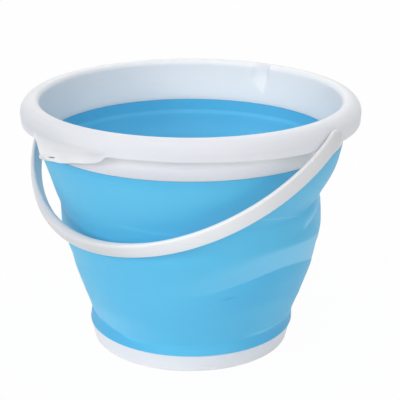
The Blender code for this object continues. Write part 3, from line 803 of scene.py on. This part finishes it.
def tabPlate():
    # rings round the hole: the underside out to the edge, round it, and back over the top to the hole
    tab, neck = collar["tab"], collar["neck"]
    front = np.linspace(-tab["leftHalf"], tab["rightHalf"], 61)
    back = np.linspace(tab["rightHalf"], -tab["leftHalf"], 21)
    swell = (1 + np.cos(math.pi * front / np.where(front > 0, tab["rightHalf"], tab["leftHalf"]))) / 2
    out = neck - tab["inset"] + (tab["reach"] + tab["inset"]) * swell
    radius = np.concatenate([out, np.full_like(back, neck - tab["rootDepth"])])
    turn = np.concatenate([front, back]) / neck
    outline = np.column_stack([radius * np.cos(turn), radius * np.sin(turn)])
    centre = neck + tab["holeOut"]
    spread = np.arctan2(outline[:, 1] / tab["holeSpread"], outline[:, 0] - centre)
    hole = np.column_stack([centre + tab["hole"][0] * np.cos(spread), tab["hole"][1] * np.sin(spread)])
    way = outline - outline.mean(0)
    way /= np.linalg.norm(way, axis=1, keepdims=True)
    middle = (tab["top"] + tab["under"]) / 2
    half = (tab["top"] - tab["under"]) / 2

    def ring(share, inset, height, filleted=False):
        spots = hole + (outline - hole) * share - way * inset
        rise = bump(np.hypot(spots[:, 0], spots[:, 1]) - neck, *tab["fillet"])
        rise = rise * (1 - bump(spots[:, 1], *tab["filletGap"]))
        return np.column_stack([spots, height + rise * filleted])

    rings = [ring(share, 0, middle - half) for share in tab["underShares"]]
    for t in np.radians(np.linspace(-90, 90, 7)):
        rings.append(ring(1, tab["edge"] * (1 - math.cos(t)), middle + half * math.sin(t)))
    rings += [ring(share, 0, middle + half, True) for share in tab["topShares"]]
    plate = loopSkin("tabPlate", rings)
    plate.data.transform(Matrix.Rotation(math.radians(tab["angle"]), 4, "Z"))
    return plate


def pegBore(side):
    bore = collar["bore"]
    rod = bmesh.new()
    bmesh.ops.create_cone(rod, cap_ends=True, segments=48, radius1=bore["radius"], radius2=bore["radius"],
                          depth=bore["depth"])
    place = Matrix.Translation((side * bore["out"], 0, pivotHeight))
    rod.transform(place @ Matrix.Rotation(math.pi / 2, 4, "Y"))
    return solidObject("pegBore", rod)


def skirtSlot():
    slot = collar["slot"]
    lens = bmesh.new()
    bmesh.ops.create_uvsphere(lens, u_segments=32, v_segments=16, radius=1)
    lens.transform(
        Matrix.Rotation(math.radians(collar["tab"]["angle"] + slot["turn"]), 4, "Z")
        @ Matrix.Translation((slot["radius"], 0, slot["height"]))
        @ Matrix.Rotation(math.radians(slot["lean"]), 4, "X")
        @ Matrix.Diagonal((*slot["half"], 1))
    )
    return solidObject("skirtSlot", lens)


def collarTone(spots):
    # painted light on the neck's inner side, and on its outside paler upwards under the skirt and at the
    # right; painted
    # # shade low on the neck at the front, and on the roll at its widest and at the left; painted light on
    # the drawn skirt
    t = collar["tone"]
    radius, height = np.hypot(spots[:, 0], spots[:, 1]), spots[:, 2]
    angle = np.degrees(np.arctan2(spots[:, 1], spots[:, 0]))
    turn, fromTab = turnFrom(angle, wall["front"]), turnFrom(angle, collar["tab"]["angle"])
    right = t["neckLowRight"] * ramp(turn, *t["rightFrom"]) * ramp(turn, *t["rightTo"])
    low = t["neckLow"] + right + bump(turn, *t["neckLowFront"])
    high = t["neckHigh"] + bump(turn, *t["neckHighFront"])
    slack, below = t["onNeck"]
    onNeck = (abs(radius - collar["neck"]) < slack) & (height < below)
    tone = np.where(onNeck, mix(low, high, ramp(height, *t["neckRise"])), ramp(radius, *t["paintedInnerLight"]))
    roll = (t["roll"] + bump(turn, *t["rollFront"])) * bump(height, *t["rollHeight"])
    roll += bump(turn, *t["rollLeft"]) * bump(height, *t["rollLeftHeight"])
    skirt = t["drawn"] * ramp(height, *t["drawnBelow"])
    skirt = skirt * ramp(fromTab, *t["drawnFrom"]) * ramp(fromTab, *t["drawnTo"])
    return tone + ramp(radius, *t["outside"]) * (roll + skirt)


def makeCollar():
    rings = [aroundAxis(collarSection(angle), math.radians(angle)) for angle in collarAngles()]
    piece = loopSkin("rimCollar", rings)
    for cutter in (pegBore(-1), pegBore(1), skirtSlot()):
        cutOrJoin(piece, cutter, "DIFFERENCE")
    # the tab's root sits inside the neck, so it is joined as a second shell
    plate = tabPlate()
    both = bmesh.new()
    both.from_mesh(piece.data)
    both.from_mesh(plate.data)
    both.to_mesh(piece.data)
    both.free()
    bpy.data.objects.remove(plate, do_unlink=True)
    softShade(piece, 30)
    # painted light and shade on the collar
    setTone(piece, collarTone(vertexSpots(piece)))
    finishPiece(piece, "rimWhite", ("collar",), "rim_unit")


makeCollar()
print("collar made")


# base

base = {
    "around": 240, "height": 0.0176, "radius": 0.0997, "footRadius": 0.0959, "footWidth": 0.011,
    "round": 0.0014, "bulge": 1.15, "footEdge": 0.0008,
    "recess": 0.003, "recessEdge": (0.0010, 0.0003, 0.0016),
    "floor": 0.0026, "floorRings": (0.030, 0.060), "corner": 0.0040, "cornerGap": 0.0010,
    # outer radius, inner radius and height of the upstand that the wall grips, its edge and its seat
    "upstand": (0.0973, 0.0949, 0.0264), "upstandEdge": 0.0006, "seat": (0.0003, 0.0004),
}


def makeBase():
    b = base
    upOut, upIn, upTop = b["upstand"]
    floor = b["recess"] + b["floor"]
    corner, edge, footEdge, lip = b["corner"], b["upstandEdge"], b["footEdge"], b["round"] / 2
    profile = [(r, floor) for r in (0, *b["floorRings"], upIn - corner - b["cornerGap"])]
    profile += arcPoints((upIn - corner, floor + corner), corner, -90, 0, 5)
    profile += arcPoints((upIn + edge, upTop - edge), edge, 180, 90, 3)
    profile += arcPoints((upOut - edge, upTop - edge), edge, 90, 0, 3)
    seatOut, seatUp = b["seat"]
    profile += [(upOut, b["height"] + seatUp), (upOut + seatOut, b["height"])]
    profile += arcPoints((b["radius"] - lip, b["height"] - lip), lip, 90, 0, 4)
    profile += [(mix(b["radius"], b["footRadius"], t), mix(b["height"] - lip, b["round"], t ** b["bulge"]))
                for t in (0.25, 0.5, 0.75)]
    profile += arcPoints((b["footRadius"] - b["round"], b["round"]), b["round"], 0, -90, 5)
    inner = b["footRadius"] - b["footWidth"]
    profile += arcPoints((inner + footEdge, footEdge), footEdge, -90, -180, 3)
    start, drop, end = b["recessEdge"]
    profile += [(inner - start, b["recess"] - drop)]
    profile += [(r, b["recess"]) for r in (inner - end, *reversed(b["floorRings"]), 0)]
    finishPiece(spun("bucketBase", profile, b["around"]), "footWhite", ("base",), "base_unit")


makeBase()
print("base made")


# bail

bail = {
    "steps": 150, "radius": 0.1626, "drop": 0.1685, "power": 1.93, "hang": 35.5,
    "thick": 0.0040, "width": 0.0172, "endWidth": 0.0172, "endSteps": 12, "edge": 0.0018,
    "edgeShare": 0.3, "crown": 0.0004,
    # place along the bow in degrees from the tab side, then what the grip adds inwards and outwards there
    "grip": (
        (0, 0, 0), (38, 0, 0), (50, .0009, .001), (60, .0017, .0025), (68, .002, .004), (75, .002, .0038),
        (84, .0019, .0028), (94, .0017, .0012), (104, .0009, .0003), (114, 0, 0), (180, 0, 0),
    ),
    "gripBlur": 5,
    # place along the bow, then the painted light (above 0) or painted shade (below 0) on the strap there
    "tone": (
        (0, -.6), (30, -.6), (50, -.65), (64, -.85), (92, -.9), (98, -.65), (108, .2), (124, .85),
        (136, .5), (146, 0), (154, -.3), (168, -.5), (174, -.6), (180, -.85),
    ),
    "peg": 0.0036, "pegEdge": 0.0004, "pegRoot": 0.0020, "head": 0.0049, "headStart": 0.1568,
    "headEnd": 0.1542, "slit": (0.0044, 0.0130, 0.0012),
}


def strapOutline(width, place):
    # rounded section of the strap, (outward, across); its outer face is slightly crowned
    inward, outward = (softCurve(bail["grip"], place, bail["gripBlur"], k) for k in (1, 2))
    low, high, side = -bail["thick"] / 2 - inward, bail["thick"] / 2 + outward, width / 2
    edge = bail["edge"] + bail["edgeShare"] * (inward + outward)
    corners = ((0, high - edge, 1), (90, low + edge, 1), (180, low + edge, -1), (270, high - edge, -1))
    points = []
    for start, at, way in corners:
        points += arcPoints((at, way * (side - edge)), edge, start, start + 90, 4)
        if start == 90:
            points += [(low, side * k) for k in (0.5, 0, -0.5)]
    points += [(high + bail["crown"] * (1 - k * k), side * k) for k in (-0.6, -0.3, 0, 0.3, 0.6)]
    return points


def strapLine():
    # (across, down, width) along the bow, with a round end past each pivot
    halfEnd, count = bail["endWidth"] / 2, bail["endSteps"]
    leans = math.pi / 2 * (count - np.arange(count)) / (count + 0.5)
    ends = [(-halfEnd * math.sin(lean), 2 * halfEnd * math.cos(lean)) for lean in leans]
    line = [(-bail["radius"], down, width) for down, width in ends]
    for turn in np.linspace(0, math.pi, bail["steps"] + 1):
        c, s = math.cos(turn), max(math.sin(turn), 0.0)
        across = -math.copysign(abs(c) ** (2 / bail["power"]), c) * bail["radius"]
        down = s ** (2 / bail["power"]) * bail["drop"]
        line.append((across, down, mix(bail["endWidth"], bail["width"], s)))
    return line + [(bail["radius"], down, width) for down, width in reversed(ends)]


def snapPeg(side):
    peg, edge, head, end = bail["peg"], bail["pegEdge"], bail["headStart"], bail["headEnd"]
    inner = bail["radius"] - bail["thick"] / 2
    profile = [
        (0, inner + bail["pegRoot"]), (peg + edge, inner + bail["pegRoot"]),
        (peg + edge, inner - edge * 0.75), (peg, inner - edge * 1.5),
        (peg, head), (bail["head"], head - edge), (bail["head"] - edge / 2, head - edge * 3),
        (peg + edge / 4, end + edge * 0.75), (peg - edge, end), (0, end),
    ]
    made = spun("peg", profile, 48)
    made.data.transform(Matrix.Translation((0, 0, pivotHeight)) @ Matrix.Rotation(side * math.pi / 2, 4, "Y"))
    slit = bmesh.new()
    bmesh.ops.create_cube(slit, size=1)
    place = Matrix.Translation((side * (end + edge), 0, pivotHeight))
    slit.transform(place @ Matrix.Diagonal((*bail["slit"], 1)))
    return cutOrJoin(made, solidObject("pegSlit", slit), "DIFFERENCE")


def makeBail():
    pivot = Vector((0, 0, pivotHeight))
    hang = math.radians(bail["hang"])
    downWay = Vector((0, -math.cos(hang), -math.sin(hang)))
    acrossWay = Vector((0, -math.sin(hang), math.cos(hang)))
    line = strapLine()
    rings = []
    for i, (x, down, width) in enumerate(line):
        before, after = line[max(i - 1, 0)], line[min(i + 1, len(line) - 1)]
        run = Vector((after[0] - before[0], after[1] - before[1])).normalized()
        centre = pivot + Vector((x, 0, 0)) + downWay * down
        outWay = Vector((-run.y, 0, 0)) + downWay * run.x
        outline = strapOutline(width, math.degrees(math.atan2(down, -x)))
        rings.append([centre + outWay * out + acrossWay * across for out, across in outline])
    piece = loopSkin("strapBail", rings, closed=False)
    for side in (-1, 1):
        cutOrJoin(piece, snapPeg(side), "UNION")
    softShade(piece, 30)
    # painted light and shade along the strap, by its place on the bow
    away = vertexSpots(piece) - np.array(pivot)
    places = np.degrees(np.arctan2(np.maximum(away @ np.array(downWay), 0), -away[:, 0]))
    setTone(piece, np.interp(places, *zip(*bail["tone"])))
    finishPiece(piece, "strapWhite", ("bail",), "handle")


makeBail()
print("bail made")


# floor, light and camera

studio = {
    "floorSize": 30.0, "floorDrop": 0.0002, "floorColour": (0.90, 0.90, 0.90), "floorRoughness": 0.9,
    "floorSeen": 0.96,  # share of plain white that the camera and reflections see in the floor
    "ambient": 0.41,
    # soft suns: azimuth and elevation seen from the bucket, angle, strength
    "suns": {
        "leftSun": (-18, 20, 20, 0.76), "rightSun": (42, 22, 40, 0.80), "backSun": (215, 44, 40, 0.60),
        "highSun": (30, 72, 40, 0.60),
    },
    "azimuth": 40, "elevation": math.degrees(0.339), "distance": 1.1665, "aim": (0, 0, 0.1362),
    "lens": 108.05, "sensor": 36, "shift": 0.02325, "clip": (0.05, 60),
}


def backWay(azimuth, elevation):
    a, e = math.radians(azimuth), math.radians(elevation)
    return Vector((math.sin(a) * math.cos(e), -math.cos(a) * math.cos(e), math.sin(e)))


def seenRays(tree):
    rays = tree.nodes.new("ShaderNodeLightPath").outputs
    seen = mathNode(tree, "MAXIMUM", rays["Is Camera Ray"], rays["Is Glossy Ray"])
    return mathNode(tree, "MAXIMUM", seen, rays["Is Transmission Ray"])


def mixShaders(tree, fac, plain, seen, output):
    both = tree.nodes.new("ShaderNodeMixShader")
    for socket, value in zip(both.inputs, (fac, plain.outputs[0], seen.outputs[0])):
        tree.links.new(value, socket)
    tree.links.new(both.outputs[0], tree.nodes[output].inputs["Surface"])


def makeFloor():
    half = studio["floorSize"] / 2
    corners = [(-half, -half, 0), (half, -half, 0), (half, half, 0), (-half, half, 0)]
    floor = meshObject("floor", corners, [(0, 1, 2, 3)])
    floor.location.z = -studio["floorDrop"]
    material, tree, plain = newMaterial("paleFloor")
    plain.inputs["Base Color"].default_value = (*studio["floorColour"], 1)
    plain.inputs["Roughness"].default_value = studio["floorRoughness"]
    plain.inputs["Specular IOR Level"].default_value = 0.0
    seen = mathNode(tree, "MULTIPLY", seenRays(tree), studio["floorSeen"])
    mixShaders(tree, seen, plain, tree.nodes.new("ShaderNodeEmission"), "Material Output")
    floor.data.materials.append(material)


def makeWorld():
    world = bpy.data.worlds.new("studioWorld")
    bpy.context.scene.world = world
    world.use_nodes = True
    tree = world.node_tree
    dim, white = tree.nodes["Background"], tree.nodes.new("ShaderNodeBackground")
    for light, strength in ((dim, studio["ambient"]), (white, 1)):
        light.inputs["Color"].default_value = (1, 1, 1, 1)
        light.inputs["Strength"].default_value = strength
    mixShaders(tree, seenRays(tree), dim, white, "World Output")


def makeSuns():
    for name, (azimuth, elevation, angle, strength) in studio["suns"].items():
        lamp = bpy.data.lights.new(name, "SUN")
        lamp.energy = strength
        lamp.angle = math.radians(angle)
        linkObject(name, lamp).rotation_euler = backWay(azimuth, elevation).to_track_quat("Z", "Y").to_euler()


def makeCamera():
    view = bpy.data.cameras.new("camera")
    view.lens, view.sensor_width, view.shift_x = studio["lens"], studio["sensor"], studio["shift"]
    view.clip_start, view.clip_end = studio["clip"]
    holder = linkObject("camera", view)
    back = backWay(studio["azimuth"], studio["elevation"])
    holder.location = Vector(studio["aim"]) + back * studio["distance"]
    holder.rotation_euler = back.to_track_quat("Z", "Y").to_euler()
    bpy.context.scene.camera = holder
    bpy.context.scene.view_settings.view_transform = "Standard"


makeFloor()
makeWorld()
makeSuns()
makeCamera()
print("studio made")
